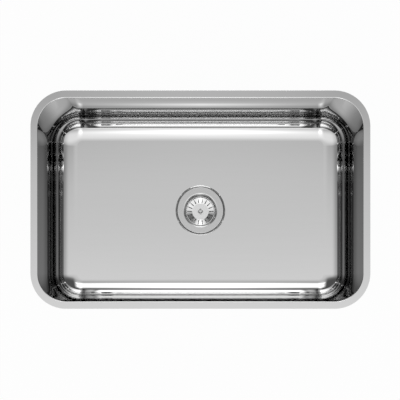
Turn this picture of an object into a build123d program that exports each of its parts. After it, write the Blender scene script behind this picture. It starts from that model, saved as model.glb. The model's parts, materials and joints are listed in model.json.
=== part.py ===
"""Undermount kitchen sink: one deep-drawn stainless bowl with a basket strainer waste.

All sizes are millimetres. The origin is the centre of the bowl's opening, in the plane of
the flange's top face, which seals to the underside of the worktop. +Z is up, +Y points
to the back of the sink and +X to its right. The waste hangs below the floor of the bowl.
"""

from build123d import *
import os
from math import atan2, cos, radians, sin, tan

# ---- pressed bowl -------------------------------------------------------------------
RIM_LENGTH = 711.2  # over the flange, left to right
RIM_WIDTH = 457.2  # over the flange, front to back
RIM_CORNER_RADIUS = 75.0
RIM_EDGE = 0.4  # broken edge round the outside of the flange
FLANGE_AT_ENDS = 14.7  # left and right, rim edge to the line of the wall
FLANGE_AT_FRONT = 15.5  # front and back
SHEET = 1.2  # thickness of the pressed steel
EDGE_RADIUS = 1.4  # bend from the flange down into the wall, on the wet side
BOWL_DEPTH = 225.0  # flange top to the wet side of the floor
END_WALL_DRAFT = 1.1  # degrees that the left and right walls lean outward
LONG_WALL_DRAFT = 0.5  # degrees that the front and back walls lean outward
COVE_RADIUS = 48.4  # bend from a wall into the floor, on the wet side

# ---- drain recess pressed into the floor --------------------------------------------
RECESS_DEPTH = 3.2
RECESS_GAP = 0.7  # round the strainer's flange, at the bottom of the recess
RECESS_SLOPE = 2.2  # how much wider the recess is at the level of the floor
RECESS_BEND = 1.0  # bends at the top and the bottom of the recess's wall

# ---- sound-deadening pads glued outside the bowl ------------------------------------
PAD_THICKNESS = 3.0
PAD_CORNER_RADIUS = 12.0
PAD_EDGE = 0.8  # broken edge round each pad's outer face
PAD_END_MARGIN = 45.0  # pad's end to the start of the bowl's upright corner
PAD_SIDE_MARGIN = 28.0  # pad's side to the flange, to the cove or to the floor's edge
PAD_DRAIN_GAP = 22.0  # strainer's flange to a floor pad

# ---- strainer body ------------------------------------------------------------------
THROAT_RADIUS = 35.3  # inside of the cup
THROAT_BEND = 5.8  # bend from the flange into the cup, on the wet side
BODY_WALL = 1.9
BODY_FLANGE_THICKNESS = 1.5
BODY_FLANGE_LIP = 1.2  # rounding of the flange's outer edge
CUP_DEPTH = 36.0  # floor of the bowl to the inside bottom of the cup, at its wall
CUP_BEND = 2.5  # bend from the cup's wall into its bottom
SEAT_DROP = 3.4  # the cup's bottom falls this much towards the stopper's seat
SEAT_WIDTH = 8.6  # flat ring that the stopper closes on
NECK_WALL = 1.9
NECK_LENGTH = 24.0  # below the stopper's seat
THREAD_PITCH = 2.4
THREAD_DEPTH = 1.3
CUP_THREAD_TURNS = 10
NECK_THREAD_TURNS = 5
THREAD_ROOT = 0.9  # a thread's rings reach this far into their wall
THREAD_RUNOUT = 0.6  # plain end below each thread
GUIDE_DROP = 8.0  # stopper's seat to the top of the guide cross in the neck
GUIDE_HEIGHT = 4.0
GUIDE_BARS = 4
GUIDE_BAR_WIDTH = 3.0
GUIDE_HUB_RADIUS = 7.5

# ---- seals, washer and nut that clamp the strainer body to the floor ----------------
HOLE_CLEARANCE = 5.95  # bowl's drain hole round the cup's thread
FLANGE_LAND = 10.0  # strainer's flange beyond the drain hole
GASKET_THICKNESS = 1.2  # between the strainer's flange and the recess
SEAL_SETBACK = 1.4  # seals stop this far inside the strainer's flange
RUBBER_THICKNESS = 3.0
WASHER_THICKNESS = 0.9
THREAD_CLEARANCE = 0.25  # round a thread, for what slides or screws onto it
LOCK_NUT_HEIGHT = 13.0
LOCK_NUT_PLATE = 3.0
LOCK_NUT_WALL = 5.0
LOCK_NUT_LUGS = 8
LOCK_NUT_LUG_WIDTH = 7.0
LOCK_NUT_LUG_STEP = 2.0  # lugs stop this far above the nut's lower end
LOCK_NUT_LUG_ROOT = 1.0  # lugs start this far inside the nut's collar
LOCK_NUT_LUG_SETBACK = 1.0  # lugs stop this far inside the edge of the nut's plate

# ---- lift-out basket ----------------------------------------------------------------
BASKET_SHEET = 0.8
BASKET_CLEARANCE = 0.9  # round the basket's lip, in the throat
BASKET_BASE_RADIUS = 19.6
BASKET_LIP_WIDTH = 1.8  # flat ring round the top of the slotted wall
BASKET_LIP_HEIGHT = 3.0
BASKET_RIM_DROP = 16.0  # floor of the bowl to the top of the basket's lip
BASKET_BEND = 2.0  # base into the slotted wall
BASKET_LIP_BEND = 1.0  # slotted wall into the lip
SLOT_COUNT = 18
SLOT_WIDTH = 2.3
SLOT_BASE_MARGIN = 0.9  # edge of the basket's base to the slots
SLOT_LIP_MARGIN = 1.0  # slots to the flat of the lip
STOPPER_SETBACK = 2.2  # stopper's edge to the outer edge of its seat
STOPPER_THICKNESS = 4.6
STOPPER_CHAMFER = 1.0
POST_RADIUS = 3.0
POST_CLEARANCE = 0.1  # stopper and its washer turn on the post
POST_FIT = 0.05  # parts fixed to the post
POST_COLLAR_RADIUS = 5.2
POST_COLLAR_HEIGHT = 1.6
CATCH_RADIUS = 3.9  # split bulb that clicks through the guide's hub
CATCH_CLEARANCE = 0.4
CATCH_DROP = 1.0  # guide's hub to the bulb
CATCH_LENGTH = 7.0
CATCH_TAPER = 2.0
CATCH_SLIT = 1.0
RETAINER_RADIUS = 10.0
RETAINER_THICKNESS = 1.2
POST_NUT_ACROSS_FLATS = 10.0
POST_NUT_HEIGHT = 4.0
KNOB_RISE = 5.0  # basket's base to the underside of the knob
KNOB_RADIUS = 6.2
KNOB_HEIGHT = 9.0
KNOB_NECK_RADIUS = 4.4
KNOB_NECK_HEIGHT = 2.4
KNOB_ROUNDING = 3.6
KNOB_UNDER_ROUNDING = 1.2
KNOB_BORE_DEPTH = 5.0

# ---- tailpiece and its coupling nut -------------------------------------------------
TAIL_RADIUS = 19.05  # outside of the tube
TAIL_WALL = 1.2
TAIL_LENGTH = 102.0
TAIL_FLANGE_THICKNESS = 1.4
TAIL_WASHER_THICKNESS = 2.0
NECK_BORE_EXTRA = 0.35  # neck's bore beyond the outside of the tube
COUPLING_HEIGHT = 20.0
COUPLING_WALL = 5.2
COUPLING_LIP = 2.6
COUPLING_SLIP = 1.0  # round the tube, in the nut's lip
COUPLING_SIDES = 8
COUPLING_CHAMFER = 1.2

# ---- sizes worked out from the above ------------------------------------------------
OPENING_LENGTH = RIM_LENGTH - 2 * FLANGE_AT_ENDS
OPENING_WIDTH = RIM_WIDTH - 2 * FLANGE_AT_FRONT
OPENING_CORNER_RADIUS = RIM_CORNER_RADIUS - FLANGE_AT_ENDS
STRAIGHT_LENGTH = OPENING_LENGTH - 2 * OPENING_CORNER_RADIUS
STRAIGHT_WIDTH = OPENING_WIDTH - 2 * OPENING_CORNER_RADIUS

NECK_RADIUS = TAIL_RADIUS + NECK_BORE_EXTRA
NECK_OUTER_RADIUS = NECK_RADIUS + NECK_WALL  # bottom of the neck's thread
NECK_THREAD_RADIUS = NECK_OUTER_RADIUS + THREAD_DEPTH
SEAT_OUTER_RADIUS = NECK_RADIUS + SEAT_WIDTH
BODY_RADIUS = THROAT_RADIUS + BODY_WALL  # bottom of the cup's thread
BODY_THREAD_RADIUS = BODY_RADIUS + THREAD_DEPTH
DRAIN_HOLE_RADIUS = BODY_THREAD_RADIUS + HOLE_CLEARANCE
BODY_FLANGE_RADIUS = DRAIN_HOLE_RADIUS + FLANGE_LAND
RECESS_BOTTOM_RADIUS = BODY_FLANGE_RADIUS + RECESS_GAP
RECESS_TOP_RADIUS = RECESS_BOTTOM_RADIUS + RECESS_SLOPE
SEAL_RADIUS = BODY_FLANGE_RADIUS - SEAL_SETBACK
SCREWED_BORE_RADIUS = BODY_THREAD_RADIUS + THREAD_CLEARANCE
STOPPER_RADIUS = SEAT_OUTER_RADIUS - STOPPER_SETBACK
BASKET_LIP_RADIUS = THROAT_RADIUS - BASKET_CLEARANCE
BASKET_WALL_TOP_RADIUS = BASKET_LIP_RADIUS - BASKET_LIP_WIDTH
GUIDE_BORE_RADIUS = CATCH_RADIUS + CATCH_CLEARANCE
TAIL_BORE_RADIUS = TAIL_RADIUS - TAIL_WALL
COUPLING_BORE_RADIUS = NECK_THREAD_RADIUS + THREAD_CLEARANCE

FLOOR_Z = -BOWL_DEPTH
RECESS_Z = FLOOR_Z - RECESS_DEPTH
RECESS_UNDER_Z = RECESS_Z - SHEET
FLANGE_UNDER_Z = RECESS_Z + GASKET_THICKNESS
FLANGE_TOP_Z = FLANGE_UNDER_Z + BODY_FLANGE_THICKNESS
CUP_Z = FLOOR_Z - CUP_DEPTH
SEAT_Z = CUP_Z - SEAT_DROP
NECK_END_Z = SEAT_Z - NECK_LENGTH
RUBBER_UNDER_Z = RECESS_UNDER_Z - RUBBER_THICKNESS
WASHER_UNDER_Z = RUBBER_UNDER_Z - WASHER_THICKNESS
GUIDE_Z = SEAT_Z - GUIDE_DROP
BASE_UNDER_Z = SEAT_Z + STOPPER_THICKNESS
BASE_Z = BASE_UNDER_Z + BASKET_SHEET
BASKET_RIM_Z = FLOOR_Z - BASKET_RIM_DROP
KNOB_Z = BASE_Z + KNOB_RISE
CATCH_Z = GUIDE_Z - GUIDE_HEIGHT - CATCH_DROP
RETAINER_UNDER_Z = SEAT_Z - RETAINER_THICKNESS
TAIL_TOP_Z = NECK_END_Z - TAIL_WASHER_THICKNESS
TAIL_FLANGE_UNDER_Z = TAIL_TOP_Z - TAIL_FLANGE_THICKNESS
COUPLING_UNDER_Z = TAIL_FLANGE_UNDER_Z - COUPLING_LIP

NEAR = 0.01  # how close a level or a radius has to be to be picked as the one that is meant


def save(made, name):
    """Labels a finished piece and writes it to its own file."""
    made.part.label = name
    export_step(made.part, f"parts/{name}.step")


def ring(outer_radius, inner_radius, top_z, thickness):
    """A flat ring round the drain's axis that hangs down from top_z."""
    with BuildPart() as made:
        with BuildSketch(Plane.XY.offset(top_z)):
            Circle(outer_radius)
            Circle(inner_radius, mode=Mode.SUBTRACT)
        extrude(amount=-thickness)
    return made


def turned(outline, bends=()):
    """A solid of revolution round Z from (radius, z) points; bends are (point, radius)."""
    with BuildPart() as made:
        with BuildSketch(Plane.XZ) as section:
            with BuildLine():
                Polyline(*outline, close=True)
            make_face()
            for point, bend_radius in bends:
                corner = section.vertices().sort_by_distance((point[0], point[1], 0))[0]
                fillet(corner, radius=bend_radius)
        revolve(axis=Axis.Z)
    return made


def thread(root_radius, bottom_z, turns):
    """One raised V ridge for each turn, standing in for an outside thread."""
    inside = root_radius - THREAD_ROOT
    outline = [(inside, bottom_z), (root_radius, bottom_z)]
    for turn in range(turns):
        outline.append((root_radius + THREAD_DEPTH, bottom_z + (turn + 0.5) * THREAD_PITCH))
        outline.append((root_radius, bottom_z + (turn + 1) * THREAD_PITCH))
    outline.append((inside, bottom_z + turns * THREAD_PITCH))
    return turned(outline)


def floor_half(opening, draft):
    """Half of the flat floor's length or width, between the coves of two facing walls."""
    cove_reach = COVE_RADIUS * tan(radians(90 - draft) / 2)
    return opening / 2 - BOWL_DEPTH * tan(radians(draft)) - cove_reach


def wall_section(opening, draft, growth):
    """Outline of two facing walls and the floor between them, grown by growth."""
    depth = BOWL_DEPTH + growth
    half_top = opening / 2 + growth / cos(radians(draft))
    half_bottom = half_top - depth * tan(radians(draft))
    return Polyline(
        (half_top, 0),
        (half_bottom, -depth),
        (-half_bottom, -depth),
        (-half_top, 0),
        close=True,
    )


def drawn_tub(growth):
    """The bowl's inside, grown by growth through its walls and floor."""
    with BuildPart() as made:
        with BuildSketch(Plane.XZ):
            with BuildLine():
                wall_section(OPENING_LENGTH, END_WALL_DRAFT, growth)
            make_face()
        extrude(amount=RIM_WIDTH, both=True)
        with BuildSketch(Plane.YZ):
            with BuildLine():
                wall_section(OPENING_WIDTH, LONG_WALL_DRAFT, growth)
            make_face()
        extrude(amount=RIM_LENGTH, both=True, mode=Mode.INTERSECT)
        uprights = made.edges().filter_by(lambda edge: abs((edge @ 1 - edge @ 0).Z) > BOWL_DEPTH / 2)
        fillet(uprights, radius=OPENING_CORNER_RADIUS + growth)
        fillet(made.faces().sort_by(Axis.Z)[0].edges(), radius=COVE_RADIUS + growth)
    return made


def recess(growth):
    """The drain's recess, grown by growth outward and down."""
    bottom_corner = (RECESS_BOTTOM_RADIUS + growth, RECESS_Z - growth)
    outline = [
        (0, FLOOR_Z),
        (RECESS_TOP_RADIUS + growth, FLOOR_Z),
        bottom_corner,
        (0, RECESS_Z - growth),
    ]
    return turned(outline, [(bottom_corner, RECESS_BEND + growth)])


def make_sink_bowl():
    """Flange, walls and floor in one pressing, with the drain's recess and hole."""
    outside = drawn_tub(SHEET)
    inside = drawn_tub(0)
    recess_outside = recess(SHEET)
    recess_inside = recess(0)
    with BuildPart() as bowl:
        with BuildSketch(Plane.XY):
            RectangleRounded(RIM_LENGTH, RIM_WIDTH, RIM_CORNER_RADIUS)
        extrude(amount=-SHEET)
        add(outside.part)
        add(recess_outside.part)
        level_faces = bowl.faces().filter_by(Axis.Z)
        flange_under = level_faces.filter_by_position(Axis.Z, -SHEET - NEAR, -SHEET + NEAR)[0]
        fillet(flange_under.inner_wires()[0].edges(), radius=EDGE_RADIUS - SHEET)
        add(inside.part, mode=Mode.SUBTRACT)
        add(recess_inside.part, mode=Mode.SUBTRACT)
        with BuildSketch(Plane.XY.offset(RECESS_Z)):
            Circle(DRAIN_HOLE_RADIUS)
        extrude(amount=2 * SHEET, both=True, mode=Mode.SUBTRACT)
        recess_edge = bowl.edges().filter_by(GeomType.CIRCLE).filter_by(
            lambda edge: abs(edge.radius - RECESS_TOP_RADIUS) < NEAR
        )
        fillet(recess_edge, radius=RECESS_BEND)
        flange_top = bowl.faces().filter_by(Axis.Z).sort_by(Axis.Z)[-1]
        fillet(flange_top.inner_wires()[0].edges(), radius=EDGE_RADIUS)
        flange_top = bowl.faces().filter_by(Axis.Z).sort_by(Axis.Z)[-1]
        fillet(flange_top.outer_wire().edges(), radius=RIM_EDGE)
    return bowl


def make_wall_pad(side_x, side_y, opening, straight, draft):
    """A pad on the wall that lies towards (side_x, side_y), flat on the wall's outside."""
    lean = radians(draft)
    flat_height = BOWL_DEPTH - COVE_RADIUS
    middle = flat_height / 2
    reach = opening / 2 + SHEET / cos(lean) - middle * tan(lean)
    wall = Plane(
        origin=(side_x * reach, side_y * reach, -middle),
        x_dir=(-side_y, side_x, 0),
        z_dir=(side_x * cos(lean), side_y * cos(lean), -sin(lean)),
    )
    with BuildPart() as pad:
        with BuildSketch(wall):
            RectangleRounded(
                straight - 2 * PAD_END_MARGIN,
                flat_height - 2 * PAD_SIDE_MARGIN,
                PAD_CORNER_RADIUS,
            )
        extrude(amount=PAD_THICKNESS)
        outer_face = pad.faces().sort_by_distance(wall.origin + wall.z_dir * PAD_THICKNESS)[0]
        chamfer(outer_face.edges(), length=PAD_EDGE)
    return pad


def make_floor_pad(side_x):
    """A pad under the floor, on the side_x side of the drain."""
    inner_end = BODY_FLANGE_RADIUS + PAD_DRAIN_GAP
    outer_end = floor_half(OPENING_LENGTH, END_WALL_DRAFT) - PAD_SIDE_MARGIN
    half_width = floor_half(OPENING_WIDTH, LONG_WALL_DRAFT) - PAD_SIDE_MARGIN
    under = Plane(
        origin=(side_x * (inner_end + outer_end) / 2, 0, FLOOR_Z - SHEET),
        x_dir=(1, 0, 0),
        z_dir=(0, 0, -1),
    )
    with BuildPart() as pad:
        with BuildSketch(under):
            RectangleRounded(outer_end - inner_end, 2 * half_width, PAD_CORNER_RADIUS)
        extrude(amount=PAD_THICKNESS)
        chamfer(pad.faces().sort_by(Axis.Z)[0].edges(), length=PAD_EDGE)
    return pad


def make_strainer_body():
    """Flange, threaded cup, stopper's seat, outlet neck and the guide cross inside it."""
    flange_edge = (BODY_FLANGE_RADIUS, FLANGE_TOP_Z)
    throat_edge = (THROAT_RADIUS, FLANGE_TOP_Z)
    cup_corner = (THROAT_RADIUS, CUP_Z)
    under_corner = (BODY_RADIUS, CUP_Z - BODY_WALL)
    flange_root = (BODY_RADIUS, FLANGE_UNDER_Z)
    shell = turned(
        [
            (BODY_FLANGE_RADIUS, FLANGE_UNDER_Z),
            flange_edge,
            throat_edge,
            cup_corner,
            (SEAT_OUTER_RADIUS, SEAT_Z),
            (NECK_RADIUS, SEAT_Z),
            (NECK_RADIUS, NECK_END_Z),
            (NECK_OUTER_RADIUS, NECK_END_Z),
            (NECK_OUTER_RADIUS, SEAT_Z - BODY_WALL),
            (SEAT_OUTER_RADIUS, SEAT_Z - BODY_WALL),
            under_corner,
            flange_root,
        ],
        [
            (flange_edge, BODY_FLANGE_LIP),
            (throat_edge, THROAT_BEND),
            (cup_corner, CUP_BEND),
            (under_corner, CUP_BEND + BODY_WALL),
            (flange_root, THROAT_BEND - BODY_WALL),
        ],
    )
    cup_thread_bottom_z = CUP_Z + CUP_BEND + THREAD_RUNOUT
    cup_thread = thread(BODY_RADIUS, cup_thread_bottom_z, CUP_THREAD_TURNS)
    neck_thread = thread(NECK_OUTER_RADIUS, NECK_END_Z + THREAD_RUNOUT, NECK_THREAD_TURNS)
    with BuildPart() as body:
        add(shell.part)
        add(cup_thread.part)
        add(neck_thread.part)
        with BuildSketch(Plane.XY.offset(GUIDE_Z)):
            Circle(GUIDE_HUB_RADIUS)
            with PolarLocations(0, GUIDE_BARS // 2, angular_range=180):
                Rectangle(2 * NECK_RADIUS + NECK_WALL, GUIDE_BAR_WIDTH)
            Circle(GUIDE_BORE_RADIUS, mode=Mode.SUBTRACT)
        extrude(amount=-GUIDE_HEIGHT)
    return body


def make_lock_nut():
    """Large nut under the floor: a plate, a screwed collar and the lugs that turn it."""
    collar_radius = SCREWED_BORE_RADIUS + LOCK_NUT_WALL
    lug_start = collar_radius - LOCK_NUT_LUG_ROOT
    lug_end = SEAL_RADIUS - LOCK_NUT_LUG_SETBACK
    with BuildPart() as nut:
        with BuildSketch(Plane.XY.offset(WASHER_UNDER_Z)):
            Circle(SEAL_RADIUS)
        extrude(amount=-LOCK_NUT_PLATE)
        with BuildSketch(Plane.XY.offset(WASHER_UNDER_Z)):
            Circle(collar_radius)
        extrude(amount=-LOCK_NUT_HEIGHT)
        with BuildSketch(Plane.XY.offset(WASHER_UNDER_Z)):
            with PolarLocations((lug_start + lug_end) / 2, LOCK_NUT_LUGS):
                Rectangle(lug_end - lug_start, LOCK_NUT_LUG_WIDTH)
        extrude(amount=-(LOCK_NUT_HEIGHT - LOCK_NUT_LUG_STEP))
        with BuildSketch(Plane.XY.offset(WASHER_UNDER_Z)):
            Circle(SCREWED_BORE_RADIUS)
        extrude(amount=-LOCK_NUT_HEIGHT, mode=Mode.SUBTRACT)
    return nut


def make_basket_cup():
    """The slotted basket: flat base, sloping wall and a lip that is turned down."""
    wall_slope = atan2(BASKET_RIM_Z - BASE_Z, BASKET_WALL_TOP_RADIUS - BASKET_BASE_RADIUS)
    mitre = BASKET_SHEET * tan(wall_slope / 2)
    bore_radius = POST_RADIUS + POST_FIT
    base_corner = (BASKET_BASE_RADIUS, BASE_Z)
    wall_top = (BASKET_WALL_TOP_RADIUS, BASKET_RIM_Z)
    lip_corner = (BASKET_LIP_RADIUS, BASKET_RIM_Z)
    lip_root = (BASKET_LIP_RADIUS - BASKET_SHEET, BASKET_RIM_Z - BASKET_SHEET)
    base_under_corner = (BASKET_BASE_RADIUS + mitre, BASE_UNDER_Z)
    formed = turned(
        [
            (bore_radius, BASE_Z),
            base_corner,
            wall_top,
            lip_corner,
            (BASKET_LIP_RADIUS, BASKET_RIM_Z - BASKET_LIP_HEIGHT),
            (BASKET_LIP_RADIUS - BASKET_SHEET, BASKET_RIM_Z - BASKET_LIP_HEIGHT),
            lip_root,
            (BASKET_WALL_TOP_RADIUS + mitre, BASKET_RIM_Z - BASKET_SHEET),
            base_under_corner,
            (bore_radius, BASE_UNDER_Z),
        ],
        [
            (base_corner, BASKET_BEND),
            (base_under_corner, BASKET_BEND + BASKET_SHEET),
            (wall_top, BASKET_LIP_BEND),
            (lip_corner, BASKET_SHEET),
        ],
    )
    slot_start = BASKET_BASE_RADIUS + SLOT_BASE_MARGIN
    slot_end = BASKET_WALL_TOP_RADIUS - SLOT_LIP_MARGIN
    with BuildPart() as cup:
        add(formed.part)
        with BuildSketch(Plane.XY.offset(BASKET_RIM_Z)):
            with PolarLocations((slot_start + slot_end) / 2, SLOT_COUNT):
                SlotOverall(slot_end - slot_start, SLOT_WIDTH)
        extrude(amount=BASE_UNDER_Z - BASKET_RIM_Z, mode=Mode.SUBTRACT)
    return cup


def make_basket_post():
    """Pin from the knob down through the guide's hub, with a split bulb at its end."""
    post_end_z = CATCH_Z - CATCH_LENGTH
    turned_pin = turned(
        [
            (0, KNOB_Z + KNOB_BORE_DEPTH),
            (POST_RADIUS, KNOB_Z + KNOB_BORE_DEPTH),
            (POST_RADIUS, BASE_Z + POST_COLLAR_HEIGHT),
            (POST_COLLAR_RADIUS, BASE_Z + POST_COLLAR_HEIGHT),
            (POST_COLLAR_RADIUS, BASE_Z),
            (POST_RADIUS, BASE_Z),
            (POST_RADIUS, CATCH_Z),
            (CATCH_RADIUS, CATCH_Z - CATCH_TAPER),
            (CATCH_RADIUS, post_end_z + CATCH_TAPER),
            (CATCH_RADIUS - CATCH_TAPER, post_end_z),
            (0, post_end_z),
        ]
    )
    with BuildPart() as post:
        add(turned_pin.part)
        with BuildSketch(Plane.XY.offset(post_end_z)):
            Rectangle(2 * CATCH_RADIUS, CATCH_SLIT)
        extrude(amount=GUIDE_Z - post_end_z, mode=Mode.SUBTRACT)
    return post


def make_basket_knob():
    """Domed knob on a short neck, bored for the post."""
    top_edge = (KNOB_RADIUS, KNOB_Z + KNOB_HEIGHT)
    head_under = (KNOB_RADIUS, KNOB_Z + KNOB_NECK_HEIGHT)
    return turned(
        [
            (POST_RADIUS + POST_FIT, KNOB_Z),
            (KNOB_NECK_RADIUS, KNOB_Z),
            (KNOB_NECK_RADIUS, KNOB_Z + KNOB_NECK_HEIGHT),
            head_under,
            top_edge,
            (0, KNOB_Z + KNOB_HEIGHT),
            (0, KNOB_Z + KNOB_BORE_DEPTH),
            (POST_RADIUS + POST_FIT, KNOB_Z + KNOB_BORE_DEPTH),
        ],
        [(top_edge, KNOB_ROUNDING), (head_under, KNOB_UNDER_ROUNDING)],
    )


def make_stopper_seal():
    """Rubber disc under the basket that closes on the seat."""
    with BuildPart() as seal:
        with BuildSketch(Plane.XY.offset(SEAT_Z)):
            Circle(STOPPER_RADIUS)
        extrude(amount=STOPPER_THICKNESS)
        chamfer(seal.edges(), length=STOPPER_CHAMFER)
        with BuildSketch(Plane.XY.offset(SEAT_Z)):
            Circle(POST_RADIUS + POST_CLEARANCE)
        extrude(amount=STOPPER_THICKNESS, mode=Mode.SUBTRACT)
    return seal


def make_post_nut():
    """Hexagon nut that holds basket, stopper and washer on the post."""
    with BuildPart() as nut:
        with BuildSketch(Plane.XY.offset(RETAINER_UNDER_Z)):
            RegularPolygon(POST_NUT_ACROSS_FLATS / 2, 6, major_radius=False)
            Circle(POST_RADIUS + POST_FIT, mode=Mode.SUBTRACT)
        extrude(amount=-POST_NUT_HEIGHT)
    return nut


def make_tailpiece():
    """Outlet tube with the flange that its nut pulls up against the washer."""
    end_z = TAIL_TOP_Z - TAIL_LENGTH
    return turned(
        [
            (TAIL_BORE_RADIUS, TAIL_TOP_Z),
            (NECK_THREAD_RADIUS, TAIL_TOP_Z),
            (NECK_THREAD_RADIUS, TAIL_FLANGE_UNDER_Z),
            (TAIL_RADIUS, TAIL_FLANGE_UNDER_Z),
            (TAIL_RADIUS, end_z),
            (TAIL_BORE_RADIUS, end_z),
        ]
    )


def make_coupling_nut():
    """Eight-sided nut that screws on the neck and carries the tailpiece's flange."""
    outer_radius = COUPLING_BORE_RADIUS + COUPLING_WALL
    with BuildPart() as nut:
        with BuildSketch(Plane.XY.offset(COUPLING_UNDER_Z)):
            RegularPolygon(outer_radius, COUPLING_SIDES, major_radius=False)
        extrude(amount=COUPLING_HEIGHT)
        ends = nut.faces().filter_by(Axis.Z)
        chamfer(ends.edges(), length=COUPLING_CHAMFER)
        with BuildSketch(Plane.XY.offset(COUPLING_UNDER_Z)):
            Circle(TAIL_RADIUS + COUPLING_SLIP)
        extrude(amount=COUPLING_HEIGHT, mode=Mode.SUBTRACT)
        with BuildSketch(Plane.XY.offset(TAIL_FLANGE_UNDER_Z)):
            Circle(COUPLING_BORE_RADIUS)
        extrude(amount=COUPLING_HEIGHT, mode=Mode.SUBTRACT)
    return nut


os.makedirs("parts", exist_ok=True)

save(make_sink_bowl(), "sink_bowl")

long_wall = (OPENING_WIDTH, STRAIGHT_LENGTH, LONG_WALL_DRAFT)
end_wall = (OPENING_LENGTH, STRAIGHT_WIDTH, END_WALL_DRAFT)
save(make_wall_pad(0, -1, *long_wall), "wall_pad_front")
save(make_wall_pad(0, 1, *long_wall), "wall_pad_back")
save(make_wall_pad(-1, 0, *end_wall), "wall_pad_left")
save(make_wall_pad(1, 0, *end_wall), "wall_pad_right")
save(make_floor_pad(-1), "floor_pad_left")
save(make_floor_pad(1), "floor_pad_right")

save(make_strainer_body(), "strainer_body")
save(
    ring(SEAL_RADIUS, DRAIN_HOLE_RADIUS, FLANGE_UNDER_Z, GASKET_THICKNESS),
    "flange_gasket",
)
save(
    ring(SEAL_RADIUS, SCREWED_BORE_RADIUS, RECESS_UNDER_Z, RUBBER_THICKNESS),
    "drain_gasket",
)
save(
    ring(SEAL_RADIUS, SCREWED_BORE_RADIUS, RUBBER_UNDER_Z, WASHER_THICKNESS),
    "friction_washer",
)
save(make_lock_nut(), "lock_nut")

save(make_basket_cup(), "basket_cup")
save(make_basket_post(), "basket_post")
save(make_basket_knob(), "basket_knob")
save(make_stopper_seal(), "stopper_seal")
save(
    ring(RETAINER_RADIUS, POST_RADIUS + POST_CLEARANCE, SEAT_Z, RETAINER_THICKNESS),
    "seal_retainer",
)
save(make_post_nut(), "post_nut")

save(
    ring(NECK_THREAD_RADIUS, TAIL_BORE_RADIUS, NECK_END_Z, TAIL_WASHER_THICKNESS),
    "tailpiece_washer",
)
save(make_tailpiece(), "tailpiece")
save(make_coupling_nut(), "coupling_nut")
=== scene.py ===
"""Looks for an undermount kitchen sink in brightly polished stainless steel.

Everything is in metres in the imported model's own frame. The flange's top face is z = 0, +Z is
up, +Y points to the back of the sink, and the waste hangs below the floor of the bowl.
"""

import json
import math

import bpy
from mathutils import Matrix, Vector


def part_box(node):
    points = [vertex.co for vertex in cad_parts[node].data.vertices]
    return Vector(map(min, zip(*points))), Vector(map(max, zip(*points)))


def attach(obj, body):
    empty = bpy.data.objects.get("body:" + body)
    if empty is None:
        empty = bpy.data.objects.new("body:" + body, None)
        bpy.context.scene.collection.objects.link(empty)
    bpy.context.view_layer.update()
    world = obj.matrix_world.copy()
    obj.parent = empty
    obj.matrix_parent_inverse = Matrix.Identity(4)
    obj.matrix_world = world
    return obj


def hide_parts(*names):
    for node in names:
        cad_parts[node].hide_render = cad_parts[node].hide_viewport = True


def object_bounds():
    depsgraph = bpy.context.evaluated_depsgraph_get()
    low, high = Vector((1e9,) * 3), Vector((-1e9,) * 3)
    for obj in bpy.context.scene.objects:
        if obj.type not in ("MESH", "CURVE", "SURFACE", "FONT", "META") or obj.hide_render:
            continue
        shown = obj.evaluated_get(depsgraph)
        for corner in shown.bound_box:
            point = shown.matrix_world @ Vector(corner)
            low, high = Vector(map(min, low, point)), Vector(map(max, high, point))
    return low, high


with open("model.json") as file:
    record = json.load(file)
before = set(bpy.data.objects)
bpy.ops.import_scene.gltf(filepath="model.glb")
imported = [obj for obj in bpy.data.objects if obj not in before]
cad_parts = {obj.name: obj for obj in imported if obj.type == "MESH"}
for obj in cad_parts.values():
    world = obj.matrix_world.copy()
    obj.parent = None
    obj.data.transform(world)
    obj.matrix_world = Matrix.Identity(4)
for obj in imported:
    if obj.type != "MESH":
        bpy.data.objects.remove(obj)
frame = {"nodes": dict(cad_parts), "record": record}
nodes = frame["nodes"]
cad_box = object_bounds()

# ---- camera: level over the sink and a little in front of it, aimed straight down --------
CAMERA_HEIGHT = 1.7654  # above the flange
CAMERA_Y = -0.1957
PHOTO_WIDTH = 400  # pixels
PHOTO_CENTRE_X = 200.4  # pixel over the camera's axis
FLANGE_CENTRE_Y = 199.6  # pixel of the flange's centre, counted down
METRES_PER_PIXEL = 0.0020925  # at the flange
SENSOR_WIDTH = 36.0

# ---- bowl, as it is pressed ----------------------------------------------------------------
FLANGE_AT_ENDS = 0.0147  # left and right, rim edge to the line of the wall
FLANGE_AT_FRONT = 0.0155  # front and back
RIM_CORNER_RADIUS = 0.075
RIM_EDGE = 0.0004  # broken edge round the outside of the flange
SHEET = 0.0012  # thickness of the steel
EDGE_RADIUS = 0.0014  # bend from the flange into the wall
BOWL_DEPTH = 0.225
END_WALL_LEAN = math.radians(1.1)  # left and right walls
LONG_WALL_LEAN = math.radians(0.5)  # front and back walls
COVE_RADIUS = 0.0484  # bend from a wall into the floor
RECESS_DEPTH = 0.0032
RECESS_TOP_RADIUS = 0.0585
RECESS_BOTTOM_RADIUS = 0.0548
RECESS_BEND = 0.0012
FLOOR_END_RADIUS = RECESS_TOP_RADIUS + 4 * RECESS_BEND  # last flat row before the recess
DRAIN_HOLE_RADIUS = 0.04445
CORNER_STEPS = 32  # cuts round one upright corner
STRAIGHT_STEPS = 12
BEND_STEPS = 8
WALL_STEPS = 6
COVE_STEPS = 32

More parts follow.
